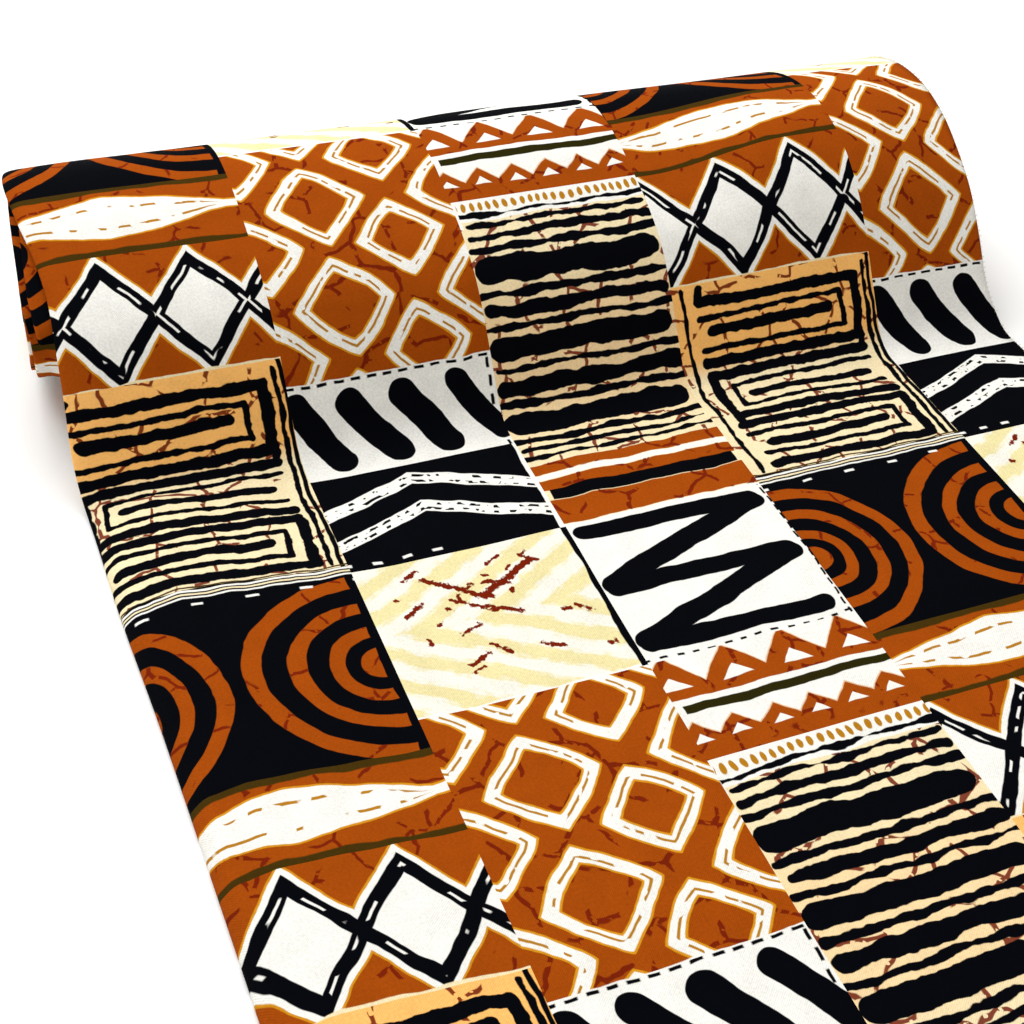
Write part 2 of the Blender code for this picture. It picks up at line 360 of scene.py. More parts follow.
class Canvas:
    """One patch of the print while it is drawn: its place fields, its colour and its ways of drawing."""

    # Plain-woven cotton, printed and pressed: the dyes sink in, so the face is matt, with next to no gloss
    FACE = CottonFace(rough=0.88, gloss=0.02, bump=0.25, depth=0.0004)
    # The real threads lie about 0.36 mm apart; they are drawn this coarse, in millimetres, so that they show
    THREAD, SLUB = 1.3, 1.1
    # How a hand-drawn line wavers: over how many millimetres, and by which share of the patch's wobble
    WAVERS = (Spread(31.0, 1.5), Spread(8.0, 0.32))
    # How unevenly the dye takes, from thread to thread and over a finger's breadth
    FINE_GRAIN, BROAD_GRAIN, LEAST_GRAIN = Spread(1.5, 0.3), Spread(16.0, 0.2), 0.75
    # How far a patch's own places go on before it starts, and how far past a stroke its wobble can reach
    BEFORE, MARGIN = 30.0, 4.0
    # Noise seldom leaves this range
    NOISE_LOW, NOISE_HIGH = 0.3, 0.7
    # How far cracks bend, the size of the patches that have them, and the small gaps in them
    CRACK_BEND, CRACK_PATCH, CRACK_GAPS = (10.0, 2.2), 19.0, (4.5, 0.86)
    CRACK_STRENGTH, CRACK_SOFT = 0.95, 0.5
    # The widths of an ink's soft rim, of a dash's ends and of the rims of patchy
    RIM, DASH_RIM, PATCHY_RIM = 0.45, 0.8, 0.03

    def __init__(self, patch: "Patch") -> None:
        """Starts a patch's material.

        Args:
            patch: the patch, with its place, its ground and its tile.
        """
        self.window = patch.tile
        self.material = new_material(patch.label())
        self.tree = self.material.node_tree
        uv = add_node(self.tree, "ShaderNodeUVMap", uv_map="cloth")
        self.plain = self.scaled(uv.outputs[0], 1.0 / MM)
        place = self.plain
        for waver in self.WAVERS:
            place = self.vector("ADD", place, self.cloud(waver.span, patch.wobble * waver.share))
        u, v = self.split(place)
        left, low = patch.left - self.BEFORE, patch.low - self.BEFORE
        self.x = u.wrapped(left, left + REPEAT_U) - patch.left
        self.y = v.wrapped(low, low + REPEAT_V) - patch.low
        joined = add_node(self.tree, "ShaderNodeCombineXYZ", {0: self.x.socket, 1: self.y.socket, 2: 0.0})
        self.place = joined.outputs[0]
        self.colour: NodeSocket | tuple = linear(patch.ground.value)

    def vector(self, operation: str, *parts: object) -> NodeSocket:
        """One step of arithmetic on places; the result is the node's first output."""
        node = add_node(self.tree, "ShaderNodeVectorMath", dict(enumerate(parts)), operation=operation)
        return node.outputs[0]

    def split(self, place: NodeSocket) -> list:
        """A place's first two numbers."""
        parts = add_node(self.tree, "ShaderNodeSeparateXYZ", {0: place})
        return [Field(self.tree, socket) for socket in parts.outputs[:2]]

    def scaled(self, place: NodeSocket, factor: float) -> NodeSocket:
        """A place times a factor."""
        inputs = {0: place, 3: factor}
        return add_node(self.tree, "ShaderNodeVectorMath", inputs, operation="SCALE").outputs[0]

    def noise(self, span: float, detail: float) -> Node:
        """Noise on the cloth, that changes over a span in millimetres."""
        inputs = {"Vector": self.plain, "Scale": 1.0 / span, "Detail": detail}
        return add_node(self.tree, "ShaderNodeTexNoise", inputs, noise_dimensions="2D")

    def cloud(self, span: float, reach: float) -> NodeSocket:
        """A random offset, that changes over a span and goes about as far as reach, in millimetres."""
        centred = self.vector("SUBTRACT", self.noise(span, 1.0).outputs["Color"], (0.5, 0.5, 0.5))
        return self.scaled(centred, 2.0 * reach)

    def speckle(self, span: float, detail: float = 1.0) -> Field:
        """Random grey, 0 to 1, that changes over a span in millimetres."""
        return Field(self.tree, self.noise(span, detail).outputs["Fac"])

    def rough(self, span: float, reach: float, detail: float = 2.0) -> Field:
        """A random distance to add to an edge, that changes over a span, in millimetres."""
        return (self.speckle(span, detail) - 0.5) * reach

    def patchy(self, span: float, share: float) -> Field:
        """1 on random patches of a span in millimetres, that cover about a share of the cloth."""
        level = self.NOISE_HIGH - (self.NOISE_HIGH - self.NOISE_LOW) * share
        return (-self.speckle(span) + level).inked(self.PATCHY_RIM)

    def lay(
        self, ink: Ink, off: Field, strength: float = 1.0, soft: float = RIM, where: Field | None = None
    ) -> None:
        """Lays one ink over what is there.

        Args:
            ink: the colour.
            off: a distance, below nought where the ink goes.
            strength: how much it covers.
            soft: the width of its rim, in millimetres.
            where: 1 where it may go; everywhere, if left out.
        """
        mask = off.inked(soft)
        if where is not None:
            mask = mask * where
        if strength < 1.0:
            mask = mask * strength
        inputs = {0: mask.socket, 6: self.colour, 7: linear(ink.value)}
        self.colour = add_node(self.tree, "ShaderNodeMix", inputs, data_type="RGBA").outputs[2]

    def segment(self, start: tuple, end: tuple) -> Field:
        """Distance in millimetres to the straight line from start to end."""
        along = (end[0] - start[0], end[1] - start[1], 0.0)
        square = max(along[0] ** 2 + along[1] ** 2, 1e-6)
        away = self.vector("SUBTRACT", self.place, (start[0], start[1], 0.0))
        inputs = {0: away, 1: (along[0] / square, along[1] / square, 0.0)}
        dot = add_node(self.tree, "ShaderNodeVectorMath", inputs, operation="DOT_PRODUCT")
        share = Field(self.tree, dot.outputs["Value"]).math("ADD", 0.0, clamp=True)
        rest = self.vector("MULTIPLY_ADD", share.socket, (-along[0], -along[1], 0.0), away)
        node = add_node(self.tree, "ShaderNodeVectorMath", {0: rest}, operation="LENGTH")
        return Field(self.tree, node.outputs["Value"])

    def brushed(self, strokes: list) -> Field:
        """Distance to the nearest of several strokes, below nought inside.

        Args:
            strokes: the strokes, in the patch's own millimetres.

        Returns:
            The distance; strokes that don't reach this material's window are left out.
        """
        low, high = self.window
        offs = []
        for stroke in strokes:
            reach = stroke.width / 2.0 + self.MARGIN
            for start, end in zip(stroke.points, stroke.points[1:]):
                foot, top = sorted((start[1], end[1]))
                if top + reach >= low and foot - reach <= high:
                    offs.append(self.segment(start, end) - stroke.width / 2.0)
        return reduce(Field.least, offs)

    def between(self, place: Field, low: float, high: float) -> Field:
        """Distance to a straight band across a place's run, below nought inside."""
        return abs(place - (low + high) / 2.0) - (high - low) / 2.0

    def band(self, low: float, high: float) -> Field:
        """Distance to a level band, below nought inside."""
        return self.between(self.y, low, high)

    def post(self, left: float, right: float) -> Field:
        """Distance to an upright band, below nought inside."""
        return self.between(self.x, left, right)

    def bands(self, *rows: Band) -> None:
        """Lays level bands, one over another."""
        for row in rows:
            self.lay(row.ink, self.band(row.low, row.high))

    def dashed(self, ink: Ink, line: DashedLine, upright: bool = False, limit: Field | None = None) -> None:
        """Lays a dashed line.

        Args:
            ink: the dashes' colour.
            line: its two edges, the dashes' period and the share of it that they take.
            upright: whether it runs up the patch, and not across it.
            limit: a distance, below nought where the line may go; everywhere, if left out.
        """
        across, along = (self.x, self.y) if upright else (self.y, self.x)
        edge = self.between(across, line.low, line.high)
        dashes = (along.wave(line.period) - line.period * line.share / 2.0).inked(self.DASH_RIM)
        self.lay(ink, edge if limit is None else edge.most(limit), where=dashes)

    def crack(self, cracks: Cracks, limit: Field | None = None) -> None:
        """Red-brown lines, as dye leaves where it runs into the cracks of the resist.

        Args:
            cracks: the distance between them and their width, in millimetres, and the share that has them.
            limit: a distance, below nought where they may go; everywhere, if left out.
        """
        bent = self.vector("ADD", self.plain, self.cloud(*self.CRACK_BEND))
        node = add_node(
            self.tree, "ShaderNodeTexVoronoi", {"Vector": bent, "Scale": 1.0 / cracks.cell},
            voronoi_dimensions="2D", feature="DISTANCE_TO_EDGE",
        )
        rim = Field(self.tree, node.outputs["Distance"]) * cracks.cell - cracks.width / 2.0
        there = self.patchy(self.CRACK_PATCH, cracks.share) * self.patchy(*self.CRACK_GAPS)
        if limit is not None:
            there = there * limit.inked(self.RIM)
        self.lay(Ink.RED_BROWN, rim, self.CRACK_STRENGTH, self.CRACK_SOFT, there)

    def finish(self) -> Material:
        """Joins the drawn colour to the cloth's grain and weave.

        Returns:
            The finished material.
        """
        fine, broad = self.FINE_GRAIN, self.BROAD_GRAIN
        grain = self.speckle(fine.span, 2.0) * fine.share + self.speckle(broad.span, 2.0) * broad.share
        inputs = {0: 1.0, 6: self.colour, 7: (grain + self.LEAST_GRAIN).socket}
        tinted = add_node(self.tree, "ShaderNodeMix", inputs, data_type="RGBA", blend_type="MULTIPLY")
        turn = 2.0 * math.pi / self.THREAD
        warp, weft = ((field * turn).math("SINE") for field in self.split(self.plain))
        weave = warp * weft + self.speckle(self.SLUB)
        self.FACE.dress(self.tree, tinted.outputs[2], weave.socket)
        return self.material


@dataclass(frozen=True)
class Patch:
    """One patch of the print: where it lies in the repeat, and how it is drawn."""

    left: float
    low: float
    width: float
    height: float
    tile: tuple = (0.0, math.inf)

    name = "patch"
    ground = Ink.WHITE
    wobble = 1.4

    def holds(self, u: float, v: float) -> bool:
        """True if a place of the cloth lies in this patch's tile."""
        up = (v - self.low) % REPEAT_V
        low, high = self.tile
        return (u - self.left) % REPEAT_U < self.width and low <= up < min(high, self.height)

    def start(self) -> float:
        """Where the tile starts along the cloth."""
        return self.low + self.tile[0]

    def label(self) -> str:
        """The name of the tile's material."""
        tile = f"_{self.tile[0]:.0f}" if self.tile[0] > 0.0 else ""
        return f"printed_cotton_{self.name}{tile}"

    def draw(self, canvas: Canvas) -> None:
        """Draws the motifs on the ground."""

    def material(self) -> Material:
        """The patch's finished material."""
        canvas = Canvas(self)
        self.draw(canvas)
        return canvas.finish()


class HalfRings(Patch):
    """Rust half rings on black, one set from each side, under a braid of thin lines."""

    name = "half_rings"
    ground = Ink.BLACK
    CENTRE_Y = 60.0
    Ring = namedtuple("Ring", "radius width")
    RINGS = (Ring(5.0, 11.0), Ring(22.0, 7.5), Ring(40.0, 8.0), Ring(59.5, 9.0))
    RingSet = namedtuple("RingSet", "centre stretch scale")
    SETS = (RingSet(0.0, 1.0, 0.93), RingSet(139.0, 1.12, 1.0))
    REACH, EDGE, RIGHT = 72.0, 137.5, 145.0
    CRACKS = Cracks(26.0, 1.9, 0.5)
    BRAID = (Band(126.2, 127.4, Ink.WHITE), Band(128.6, 129.8, Ink.CREAM), Band(130.8, 132.2, Ink.WHITE))
    BRAID_LOW, BRAID_HIGH = 124.0, 140.0
    SLIPS = DashedLine(120.6, 122.4, 29.0, 0.22)

    def draw(self, canvas: Canvas) -> None:
        """Draws the rings, then the lines along the top."""
        for side in self.SETS:
            dx = (canvas.x - side.centre) * (1.0 / side.stretch)
            radius = dx.hypot(canvas.y - self.CENTRE_Y) * (1.0 / side.scale)
            ends = abs(canvas.x - side.centre) - self.REACH * side.stretch
            rings = [abs(radius - ring.radius) - ring.width / 2.0 for ring in self.RINGS]
            dyed = ends.most(reduce(Field.least, rings)).most(canvas.post(0.0, self.EDGE))
            canvas.lay(Ink.RUST, dyed)
            canvas.crack(self.CRACKS, dyed)
        rim = canvas.post(self.EDGE, self.RIGHT)
        canvas.lay(Ink.BLACK, rim.least(canvas.band(self.BRAID_LOW, self.BRAID_HIGH)))
        canvas.bands(*self.BRAID)
        canvas.dashed(Ink.WHITE, self.SLIPS)


class LeafBand(Patch):
    """A white leaf with ochre dashes on rust, between two dark olive lines."""

    name = "leaf_band"
    ground = Ink.RUST
    LEAF_X, LEAF_Y, LEAF_HALF, LEAF_HIGH, TIP = 66.0, 27.0, 80.0, 15.5, 2.5
    SWELL, RIM = 1.25, 1.2
    VEIN_HALF, VEIN_INSET = 0.85, 2.5
    FOOT_LINE, TOP_LINE = (-3.0, 3.8), (46.8, 55.0)
    CRACKS = Cracks(22.0, 1.9, 0.46)

    def draw(self, canvas: Canvas) -> None:
        """Draws the leaf, the dashes that follow its edges, and the two lines."""
        canvas.crack(self.CRACKS)
        share = abs(canvas.x - self.LEAF_X) * (1.0 / self.LEAF_HALF)
        swell = share.power(self.SWELL).math("MULTIPLY_ADD", -self.LEAF_HIGH, self.LEAF_HIGH)
        off = abs(canvas.y - self.LEAF_Y)
        leaf = off - swell.most(self.TIP)
        canvas.lay(Ink.GOLD, leaf - self.RIM, 0.85)
        canvas.lay(Ink.WHITE, leaf)
        vein = abs(off - swell * 0.5) - self.VEIN_HALF
        canvas.lay(Ink.OCHRE, vein.most(leaf + self.VEIN_INSET), where=canvas.patchy(12.0, 0.5))
        lines = canvas.band(*self.FOOT_LINE).least(canvas.band(*self.TOP_LINE))
        canvas.lay(Ink.DARK_OLIVE, lines, soft=0.8)


class LozengeChain(Patch):
    """Black crossing zigzags on white, between rust teeth."""

    name = "lozenge_chain"
    ground = Ink.RUST
    PITCH, START, MIDDLE, HIGH, LEAN = 52.0, 0.5, 36.0, 63.0, 0.6
    GOLD_RIM, WHITE_RIM, LINE_HALF, SLIT_HALF, SLIT_OFF = 7.4, 6.3, 3.5, 0.65, 0.5
    CRACKS = Cracks(24.0, 1.9, 0.4)
    FOOT = Band(-4.0, 1.2, Ink.CREAM)

    def draw(self, canvas: Canvas) -> None:
        """Draws the white band, the zigzags and the slits in their lines."""
        canvas.crack(self.CRACKS)
        share = canvas.x.wave(2.0 * self.PITCH, self.START) * (1.0 / self.PITCH)
        off = (abs(canvas.y - self.MIDDLE) - abs(share - 0.5) * self.HIGH) * self.LEAN
        canvas.lay(Ink.GOLD, off - self.GOLD_RIM, 0.8)
        canvas.lay(Ink.WHITE, off - self.WHITE_RIM)
        canvas.lay(Ink.BLACK, abs(off) - self.LINE_HALF)
        canvas.lay(Ink.WHITE, abs(off + self.SLIT_OFF) - self.SLIT_HALF, where=canvas.patchy(15.0, 0.38))
        canvas.bands(self.FOOT)


class Meander(Patch):
    """Black nested hairpins and bars on cream, with painted shade in tan over the upper part and red-brown
    cracks.

    The hairpins follow a rule of their own: nests of two, one above the other, shut at each side in turn.
    """

    name = "meander"
    ground = Ink.CREAM
    wobble = 1.6
    LEFT, RIGHT = 17.0, 128.0
    FIRST, PITCH, NESTS = 26.0, 46.5, 3
    Hairpin = namedtuple("Hairpin", "reach width inside")
    HAIRPINS = (Hairpin(19.6, 6.2, 0.0), Hairpin(10.0, 3.6, 11.0))
    CORE_WIDTH, CORE_INSIDE, CORE_OUTSIDE = 6.6, 22.0, 8.0
    LINK_WIDTH, LINK_OVER = 5.0, 3.0
    # The lines down the left and the right side
    SIDE_LINES = (
        Stroke(3.0, ((7.0, 146.0), (6.0, 74.0), (8.0, 4.0))),
        Stroke(3.2, ((136.0, 147.0), (136.0, 76.0), (135.0, 4.0))),
    )
    # Painted shade in tan: where it starts up the patch, and the width of its soft rim
    TAN_FROM, TAN_SOFT = 97.0, 14.0
    CRACKS = Cracks(25.0, 2.1, 0.6)
    EDGE = (138.8, 141.5)
    FOOT = Band(0.4, 1.6, Ink.DARK_OLIVE)

    def strokes(self) -> list:
        """The hairpins from the lowest nest up, the bars above them and the lines down both sides."""
        hand = Hand(4)
        strokes = []
        for nest in range(self.NESTS):
            middle = self.FIRST + self.PITCH * nest
            shut, mouth, inward = self.RIGHT, self.LEFT, -1.0
            if nest % 2 == 1:
                shut, mouth, inward = self.LEFT, self.RIGHT, 1.0
            for pin in self.HAIRPINS:
                bend = shut + inward * pin.inside
                corners = ((mouth, pin.reach), (bend, pin.reach), (bend, -pin.reach), (mouth, -pin.reach))
                points = tuple(hand.near(x, middle + up) for x, up in corners)
                strokes.append(Stroke(hand.about(pin.width), points))
            start, end = mouth - inward * self.CORE_OUTSIDE, shut + inward * self.CORE_INSIDE
            core = (hand.near(start, middle), hand.near(end, middle))
            strokes.append(Stroke(hand.about(self.CORE_WIDTH), core))
            high, higher = middle + self.HAIRPINS[0].reach, middle + self.PITCH / 2.0 + self.LINK_OVER
            width = hand.about(self.LINK_WIDTH)
            strokes.append(Stroke(width, (hand.near(mouth, high), hand.near(mouth, higher))))
        for line in self.SIDE_LINES:
            strokes.append(Stroke(line.width, [hand.near(*point) for point in line.points]))
        return strokes

    def draw(self, canvas: Canvas) -> None:
        """Draws the painted shade in tan over the upper part, the strokes, the edge and the cracks."""
        # Painted shade: tan over the upper part, standing in for the roll's shaded front
        canvas.lay(Ink.TAN, -canvas.y + self.TAN_FROM, soft=self.TAN_SOFT)
        canvas.crack(self.CRACKS)
        canvas.lay(Ink.BLACK, canvas.brushed(self.strokes()) + canvas.rough(8.0, 2.6))
        canvas.lay(Ink.BLACK, canvas.post(*self.EDGE))
        canvas.bands(self.FOOT)


class BrushedChevrons(Patch):
    """White dry-brushed chevrons on pale yellow, with red-brown scribbles scattered by chance."""

    name = "brushed_chevrons"
    ground = Ink.PALE_YELLOW
    MIDDLE, SLOPE, PERIOD, WHITE_HALF, BRISTLE = 58.0, 0.58, 23.0, 6.6, 3.6
    Scribble = namedtuple("Scribble", "count reach width")
    SCRIBBLES = (Scribble(3, 34.0, 3.8), Scribble(10, 10.0, 2.3), Scribble(15, 2.5, 2.2))
    LEFT, RIGHT, FOOT, TOP, LOWEST, HIGHEST = 12.0, 118.0, 12.0, 98.0, 6.0, 103.0
    FOOT_LINE = Band(-3.0, 1.5, Ink.WHITE)
    EDGE = (122.0, 126.5)

    def strokes(self) -> list:
        """Scribbles that run with the chevrons' arms, long ones first, then short ones and dots."""
        hand = Hand(23)
        strokes = []
        for kind in self.SCRIBBLES:
            step = (self.RIGHT - self.LEFT - kind.reach) / kind.count
            for place in range(kind.count):
                x = self.LEFT + step * (place + hand.within(0.0, 1.0))
                y = hand.within(self.FOOT, self.TOP)
                rise = hand.about(kind.reach) * self.SLOPE * hand.sign()
                end = hand.near(x + kind.reach, min(max(y + rise, self.LOWEST), self.HIGHEST), 2.0)
                strokes.append(Stroke(hand.about(kind.width, 0.3), ((x, y), end)))
        return strokes

    def draw(self, canvas: Canvas) -> None:
        """Draws the chevrons, the scribbles and the black line at the right."""
        lean = abs(canvas.y - self.MIDDLE) - canvas.x * self.SLOPE
        bristles = lean.wave(self.BRISTLE) + canvas.rough(9.0, 9.0, 3.0)
        chevrons = lean.wave(self.PERIOD) - self.WHITE_HALF + bristles
        canvas.lay(Ink.WHITE, chevrons, 0.85, 3.4)
        canvas.lay(Ink.RED_BROWN, canvas.brushed(self.strokes()) + canvas.rough(3.0, 4.5), soft=0.7)
        canvas.bands(self.FOOT_LINE)
        canvas.lay(Ink.BLACK, canvas.post(*self.EDGE))


class ChevronBands(Patch):
    """Two white chevron bands with small black dashes, on black."""

    name = "chevron_bands"
    ground = Ink.BLACK
    PEAK_X, RISE, HALF = 56.0, 0.37, 4.8
    PEAKS = (66.0, 41.0)
    ROW_OFF, ROW_HALF = 2.3, 1.05
    SLIPS, SLIPS_RUN = DashedLine(3.6, 5.6, 17.0, 0.32), (-2.0, 60.0)
    LEFT_EDGE, RIGHT_EDGE = (-4.0, -0.6), (122.6, 128.0)

    def draw(self, canvas: Canvas) -> None:
        """Draws both bands, their dashes and the white slips at the foot."""
        slope = abs(canvas.x - self.PEAK_X) * self.RISE + canvas.y
        for peak in self.PEAKS:
            off = abs(slope - peak)
            canvas.lay(Ink.WHITE, off - self.HALF)
            canvas.lay(Ink.BLACK, abs(off - self.ROW_OFF) - self.ROW_HALF, where=canvas.patchy(5.5, 0.36))
        canvas.dashed(Ink.WHITE, self.SLIPS, limit=canvas.post(*self.SLIPS_RUN))
        canvas.lay(Ink.WHITE, canvas.post(*self.LEFT_EDGE).least(canvas.post(*self.RIGHT_EDGE)))


class SlantedBars(Patch):
    """Slanted black bars on white, with a dashed border above and at the right."""

    name = "slanted_bars"
    ground = Ink.WHITE
    COUNT, FIRST, PITCH, LEAN = 5, -30.0, 32.8, 22.0
    TOP, FOOT, WIDTH = 47.5, 12.5, 16.4
    TOP_LINE, SIDE_LINE = DashedLine(59.0, 60.8, 10.0, 0.6), DashedLine(121.6, 123.4, 11.0, 0.6)
    FOOT_LINE = Band(-4.0, -0.6, Ink.BLACK)

    def draw(self, canvas: Canvas) -> None:
        """Draws the bars and the borders."""
        hand = Hand(9)
        bars = []
        for bar in range(self.COUNT):
            x = self.FIRST + self.PITCH * bar
            ends = (hand.near(x, self.TOP), hand.near(x + self.LEAN, self.FOOT))
            bars.append(Stroke(hand.about(self.WIDTH, 0.07), ends))
        canvas.lay(Ink.BLACK, canvas.brushed(bars))
        canvas.dashed(Ink.BLACK, self.TOP_LINE)
        canvas.dashed(Ink.BLACK, self.SIDE_LINE, upright=True)
        canvas.bands(self.FOOT_LINE)


class OutlinedSquares(Patch):
    """White outlined squares stood on their corners, with ochre lines in the white, on rust."""

    name = "outlined_squares"
    ground = Ink.RUST
    STEP_X, STEP_Y = 87.0, 69.0
    SquareSet = namedtuple("SquareSet", "x y reach")
    SETS = (SquareSet(44.0, 111.0, 26.0), SquareSet(88.0, 80.0, 22.5))
    ROUNDING, LEAN_X, LEAN_Y, SLOPE = 1.14, 0.06, 0.05, 0.74
    GOLD_HALF, WHITE_HALF, LINE_HALF, LINE_OFF = 4.3, 3.2, 0.65, 0.7
    CRACKS = Cracks(25.0, 2.4, 0.56)
    FOOT = Band(-4.0, 0.6, Ink.WHITE)

    def draw(self, canvas: Canvas) -> None:
        """Draws both sets of squares, each with its fringe and its lines."""
        canvas.crack(self.CRACKS)
        for squares in self.SETS:
            dx = (canvas.x - squares.x).wrapped(-self.STEP_X / 2.0, self.STEP_X / 2.0)
            dy = (canvas.y - squares.y).wrapped(-self.STEP_Y / 2.0, self.STEP_Y / 2.0)
            across = abs(dx + dy * self.LEAN_X).power(self.ROUNDING)
            upright = abs(dy - dx * self.LEAN_Y).power(self.ROUNDING)
            off = ((across + upright).power(1.0 / self.ROUNDING) - squares.reach) * self.SLOPE
            canvas.lay(Ink.GOLD, abs(off) - self.GOLD_HALF, 0.9)
            canvas.lay(Ink.WHITE, abs(off) - self.WHITE_HALF)
            line = abs(off + self.LINE_OFF) - self.LINE_HALF
            canvas.lay(Ink.OCHRE, line, where=canvas.patchy(9.0, 0.62))
        canvas.bands(self.FOOT)


class BoldZigzag(Patch):
    """A thick black zigzag on white, over a dashed line."""

    name = "bold_zigzag"
    ground = Ink.WHITE
    LEFT, RIGHT, TOP, PITCH, LEVELS = 8.0, 112.0, 101.0, 44.5, 3
    LEVEL_WIDTH, RETURN_WIDTH, DROP, INSET = 12.0, 14.0, 1.0, 3.0
    FOOT_LINE, SIDE_LINE = DashedLine(0.2, 1.8, 9.3, 0.45), DashedLine(121.4, 122.8, 8.0, 0.7)

    def draw(self, canvas: Canvas) -> None:
        """Draws the level strokes with the slanted ones between them, then the dashes."""
        strokes = []
        for level in range(self.LEVELS):
            y = self.TOP - self.PITCH * level
            strokes.append(Stroke(self.LEVEL_WIDTH, ((self.LEFT, y), (self.RIGHT, y - self.DROP))))
            if level < self.LEVELS - 1:
                ends = ((self.RIGHT, y - self.INSET), (self.LEFT, y - self.PITCH + self.INSET))
                strokes.append(Stroke(self.RETURN_WIDTH, ends))
        canvas.lay(Ink.BLACK, canvas.brushed(strokes))
        canvas.dashed(Ink.BLACK, self.FOOT_LINE)
        canvas.dashed(Ink.BLACK, self.SIDE_LINE, upright=True)


class ToothedBands(Patch):
    """Two rows of rust teeth with white points in them, on white, with an olive bar between."""

    name = "toothed_bands"
    ground = Ink.WHITE
    TeethRow = namedtuple("TeethRow", "pitch start valley rise low point")
    ROWS = (TeethRow(35.0, 41.0, 48.0, 20.0, 38.5, 8.0), TeethRow(22.0, 48.0, 13.5, 10.0, -5.0, 5.0))
    SLOPE, RIM = 0.7, 0.7
    # A white point's rise and drop as shares of its size, and how far it and its foot lie under the valley
    POINT_RISE, POINT_DROP, POINT_LOW, POINT_FOOT = 2.2, 1.2, 2.0, 2.5
    CRACKS = Cracks(18.0, 2.2, 0.5)
    GAP, GAP_FOOT = (23.5, 39.0), 27.0
    BAR, BAR_RUN = (29.4, 35.0), (4.0, 125.0)

    def draw(self, canvas: Canvas) -> None:
        """Draws both rows of teeth, then the bar."""
        for row in self.ROWS:
            share = canvas.x.wave(row.pitch, row.start) * (-2.0 / row.pitch) + 1.0
            teeth = (canvas.y - (share * row.rise + row.valley)) * self.SLOPE
            foot = -canvas.y + row.low
            canvas.lay(Ink.GOLD, (teeth - self.RIM).most(foot), 0.6)
            dyed = teeth.most(foot)
            canvas.lay(Ink.RUST, dyed)
            canvas.crack(self.CRACKS, dyed)
            valley = row.valley - self.POINT_LOW - row.point * self.POINT_DROP
            tip = share * (row.point * self.POINT_RISE) + valley
            points = (canvas.y - tip).most(-canvas.y + (row.valley - self.POINT_FOOT))
            canvas.lay(Ink.WHITE, points)
        canvas.lay(Ink.WHITE, canvas.band(*self.GAP).most(-canvas.y + self.GAP_FOOT))
        canvas.lay(Ink.OLIVE, canvas.band(*self.BAR).most(canvas.post(*self.BAR_RUN)))


class BrushStripes(Patch):
    """Uneven black brush stripes on cream, with rust bands at the foot and a strip of ochre ticks above."""

    name = "brush_stripes"
    ground = Ink.CREAM
    wobble = 1.7
    # Half the width of each stripe, from the lowest up
    HALVES = (1.5, 1.8, 2.5, 7.8, 2.1, 4.9, 2.3, 6.9, 2.1, 3.9, 2.4, 8.4, 2.3, 2.6, 1.8, 1.5)
    FIRST, LAST, LEFT, RIGHT = 60.5, 222.5, 0.0, 124.0
    # Painted shade in tan over the middle of the stripes: its middle, half width, soft rim and strength
    TAN_MIDDLE, TAN_HALF, TAN_SOFT, TAN_STRENGTH = 126.0, 44.0, 30.0, 0.3
    RUST_BANDS = (Band(2.5, 22.0, Ink.RUST), Band(31.5, 40.5, Ink.RUST), Band(46.0, 54.5, Ink.RUST))
    WHITE_BANDS = (Band(41.0, 45.5, Ink.WHITE), Band(-4.0, 2.0, Ink.WHITE))
    BLACK_BAND, BLACK_RUN = (22.5, 32.0), (3.0, 121.0)
    TICK_GROUND = Band(218.8, 240.0, Ink.WHITE)
    TICK_PITCH, TICK_NARROW, TICK_Y, TICK_HIGH = 5.5, 2.1, 229.3, 3.4
    LEFT_EDGE, EDGE_FOOT = (-6.0, 1.0), 214.0
    CRACKS = Cracks(25.0, 2.4, 0.56)

    def strokes(self) -> list:
        """The stripes at even gaps, with ends that stray."""
        hand = Hand(31)
        solid = 2.0 * sum(self.HALVES) - self.HALVES[0] - self.HALVES[-1]
        gap = (self.LAST - self.FIRST - solid) / (len(self.HALVES) - 1)
        strokes = []
        y = self.FIRST
        for half, following in zip(self.HALVES, self.HALVES[1:] + (0.0,)):
            start = (self.LEFT + half + hand.within(-2.0, 2.0), y)
            strokes.append(Stroke(2.0 * half, (start, (self.RIGHT - half - hand.within(-2.0, 3.0), y))))
            y += half + gap + following
        return strokes

    def draw(self, canvas: Canvas) -> None:
        """Draws the painted shade in tan, the bands, the stripes, the cracks and the ticks."""
        # Painted shade: a weak tan over the middle, standing in for the roll's shaded front
        tan = abs(canvas.y - self.TAN_MIDDLE) - self.TAN_HALF
        canvas.lay(Ink.TAN, tan, self.TAN_STRENGTH, self.TAN_SOFT)
        canvas.bands(*self.RUST_BANDS)
        canvas.crack(self.CRACKS)
        canvas.bands(*self.WHITE_BANDS)
        canvas.lay(Ink.BLACK, canvas.band(*self.BLACK_BAND).most(canvas.post(*self.BLACK_RUN)))
        canvas.bands(self.TICK_GROUND)
        rough = canvas.rough(17.0, 5.4) + canvas.rough(4.0, 0.8, 1.0)
        canvas.lay(Ink.BLACK, canvas.brushed(self.strokes()) + rough)
        across = canvas.x.wave(self.TICK_PITCH) * self.TICK_NARROW
        canvas.lay(Ink.OCHRE, across.hypot(canvas.y - self.TICK_Y) - self.TICK_HIGH, soft=0.8)
        canvas.lay(Ink.WHITE, canvas.post(*self.LEFT_EDGE).most(-canvas.y + self.EDGE_FOOT))


